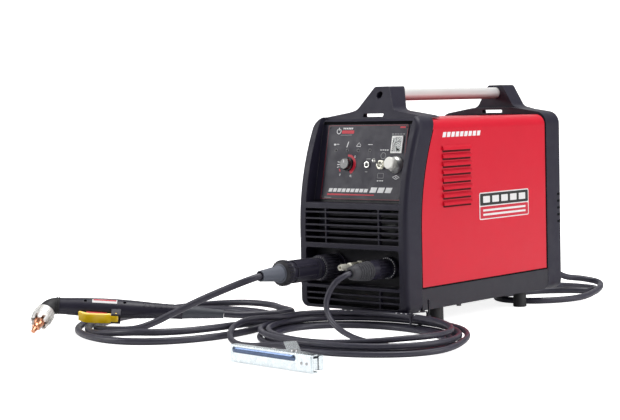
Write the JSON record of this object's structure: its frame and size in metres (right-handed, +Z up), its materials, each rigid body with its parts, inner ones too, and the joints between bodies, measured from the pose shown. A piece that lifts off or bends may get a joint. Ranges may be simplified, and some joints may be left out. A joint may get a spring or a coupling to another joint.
{
  "type": "plasma cutting machine",
  "caption": "Compact plasma cutting unit with carry handle, leaning control panel, hand torch on a coiled lead, earth clamp on a coiled lead and mains cable.",
  "frame": {"origin": "on the floor under the middle of the four feet", "axes": "+Z up, +Y from the front panel towards the back, +X towards the side with the work lead socket"},
  "size_m": [0.723, 1.0123, 0.384],
  "materials": {
    "base_pan": "satin dark grey powder coat",
    "cover": "satin red powder coat",
    "front_bezel": "moulded near-black plastic",
    "rear_bezel": "moulded near-black plastic",
    "handle_tube": "satin anodised",
    "handle_screws": "black oxide",
    "case_screws": "black oxide",
    "feet": "moulded rubber",
    "foot_screws": "zinc plated",
    "control_panel": "printed membrane",
    "potentiometer": "plated",
    "current_knob": "moulded black",
    "button_ring": "polished",
    "push_button": "black",
    "toggle_body": "nickel plated",
    "toggle_lever": "polished",
    "gauge_case": "white",
    "gauge_lens": "clear",
    "gauge_needle": "black",
    "regulator_body": "satin chrome",
    "regulator_spindle": "turned steel",
    "regulator_knob": "cream white",
    "status_leds": "clear smoke",
    "socket_plate": "black",
    "torch_socket": "turned brass",
    "torch_plug": "black",
    "coupling_ring": "black",
    "torch_boot": "grey rubber",
    "torch_lead": "black sheath",
    "air_nipple": "nickel plated brass",
    "work_socket": "black",
    "work_plug": "black",
    "work_boot": "dark grey rubber",
    "work_lead": "black sheath",
    "cable_tie": "black nylon",
    "mains_cable": "black sheath",
    "mains_plug": "black",
    "cable_gland": "black nylon",
    "switch_body": "black",
    "switch_knob": "red",
    "fan_frame": "black",
    "fan_rotor": "black",
    "compressor": "cast aluminium grey",
    "compressor_shaft": "turned",
    "transformer": "varnished laminations",
    "heatsink": "extruded",
    "power_board": "green laminate",
    "torch_handle_left": "moulded black",
    "torch_handle_right": "moulded black",
    "torch_screws": "black oxide",
    "torch_head": "moulded black",
    "shield_cup": "nickel plated",
    "torch_nozzle": "copper",
    "torch_trigger": "red",
    "safety_lever": "yellow",
    "torch_sleeve": "black",
    "clamp_arm": "bright zinc plated",
    "clamp_jaw": "bright zinc plated",
    "clamp_contact": "copper",
    "clamp_pivot": "zinc plated"
  },
  "bodies": {
    "case": {"base_pan": "base_pan", "cover": "cover", "front_bezel": "front_bezel", "rear_bezel": "rear_bezel", "handle_tube": "handle_tube", "handle_screws": "handle_screws", "case_screws": "case_screws", "feet": "feet", "foot_screws": "foot_screws", "control_panel": "control_panel", "potentiometer": "potentiometer", "button_ring": "button_ring", "toggle_body": "toggle_body", "gauge_case": "gauge_case", "gauge_lens": "gauge_lens", "regulator_body": "regulator_body", "status_leds": "status_leds", "socket_plate": "socket_plate", "torch_socket": "torch_socket", "torch_plug": "torch_plug", "torch_boot": "torch_boot", "torch_lead": "torch_lead", "air_nipple": "air_nipple", "work_socket": "work_socket", "work_lead": "work_lead", "cable_tie": "cable_tie", "mains_cable": "mains_cable", "mains_plug": "mains_plug", "cable_gland": "cable_gland", "switch_body": "switch_body", "fan_frame": "fan_frame", "compressor": "compressor", "transformer": "transformer", "heatsink": "heatsink", "power_board": "power_board"},
    "dial": {"current_knob": "current_knob"},
    "button": {"push_button": "push_button"},
    "toggle": {"toggle_lever": "toggle_lever"},
    "needle": {"gauge_needle": "gauge_needle"},
    "spindle": {"regulator_spindle": "regulator_spindle"},
    "regulator": {"regulator_knob": "regulator_knob"},
    "coupling": {"coupling_ring": "coupling_ring"},
    "work_connector": {"work_plug": "work_plug", "work_boot": "work_boot"},
    "fan": {"fan_rotor": "fan_rotor"},
    "pump_shaft": {"compressor_shaft": "compressor_shaft"},
    "mains_switch": {"switch_knob": "switch_knob"},
    "torch": {"torch_handle_left": "torch_handle_left", "torch_handle_right": "torch_handle_right", "torch_screws": "torch_screws", "torch_head": "torch_head", "torch_nozzle": "torch_nozzle", "torch_sleeve": "torch_sleeve"},
    "cup": {"shield_cup": "shield_cup"},
    "trigger": {"torch_trigger": "torch_trigger"},
    "safety": {"safety_lever": "safety_lever"},
    "clamp": {"clamp_arm": "clamp_arm", "clamp_pivot": "clamp_pivot"},
    "jaw": {"clamp_jaw": "clamp_jaw", "clamp_contact": "clamp_contact"}
  },
  "joints": [
    {"name": "current_dial", "type": "hinge", "parent": "case", "child": "dial", "pos_m": [-0.033, -0.18535, 0.258], "axis": [0, 0.9758, -0.2187], "range_deg": [-135, 135]},
    {"name": "button_press", "type": "slide", "parent": "case", "child": "button", "axis": [0, 0.9758, -0.2187], "range_m": [0, 0.002]},
    {"name": "toggle_throw", "type": "hinge", "parent": "case", "child": "toggle", "pos_m": [0.037, -0.1873, 0.25844], "axis": [1, 0, 0], "range_deg": [0, 24]},
    {"name": "gauge_swing", "type": "hinge", "parent": "case", "child": "needle", "pos_m": [0.0655, -0.17981, 0.28268], "axis": [0, 0.9758, -0.2187], "range_deg": [0, 80]},
    {"name": "regulator_turn", "type": "hinge", "parent": "case", "child": "spindle", "pos_m": [0.067, -0.18535, 0.258], "axis": [0, 0.9758, -0.2187], "range_deg": [-150, 150]},
    {"name": "regulator_pull", "type": "slide", "parent": "spindle", "child": "regulator", "axis": [0, -0.9758, 0.2187], "range_m": [0, 0.003]},
    {"name": "coupling_turn", "type": "hinge", "parent": "case", "child": "coupling", "pos_m": [-0.055, -0.22, 0.092], "axis": [0, -1, 0], "continuous": true},
    {"name": "work_twist", "type": "hinge", "parent": "case", "child": "work_connector", "pos_m": [0.058, -0.25, 0.094], "axis": [0, 1, 0], "range_deg": [-90, 0]},
    {"name": "fan_spin", "type": "hinge", "parent": "case", "child": "fan", "pos_m": [0, 0.18, 0.205], "axis": [0, 1, 0], "continuous": true},
    {"name": "pump_spin", "type": "hinge", "parent": "case", "child": "pump_shaft", "pos_m": [-0.056, 0, 0.08], "axis": [0, 1, 0], "continuous": true},
    {"name": "mains_turn", "type": "hinge", "parent": "case", "child": "mains_switch", "pos_m": [-0.062, 0.227, 0.082], "axis": [0, -1, 0], "range_deg": [0, 90]},
    {"name": "torch_lift", "type": "slide", "parent": "case", "child": "torch", "axis": [0, 0, 1], "range_m": [0, 0.12]},
    {"name": "cup_turn", "type": "hinge", "parent": "torch", "child": "cup", "pos_m": [-0.369, -0.54, 0.044], "axis": [0.3197, -0.7994, -0.5087], "continuous": true},
    {"name": "trigger_press", "type": "slide", "parent": "torch", "child": "trigger", "axis": [-0.5469, 0.6264, 0.5554], "range_m": [0, 0.0025]},
    {"name": "safety_flip", "type": "hinge", "parent": "torch", "child": "safety", "pos_m": [-0.27963, -0.47895, 0.02264], "axis": [-0.4378, 0.3515, -0.8275], "range_deg": [-10, 0]},
    {"name": "clamp_lift", "type": "slide", "parent": "case", "child": "clamp", "axis": [0, 0, 1], "range_m": [0, 0.1]},
    {"name": "clamp_open", "type": "hinge", "parent": "clamp", "child": "jaw", "pos_m": [0.212, -0.6, 0.013], "axis": [0, 0, 1], "range_deg": [0, 30]}
  ]
}
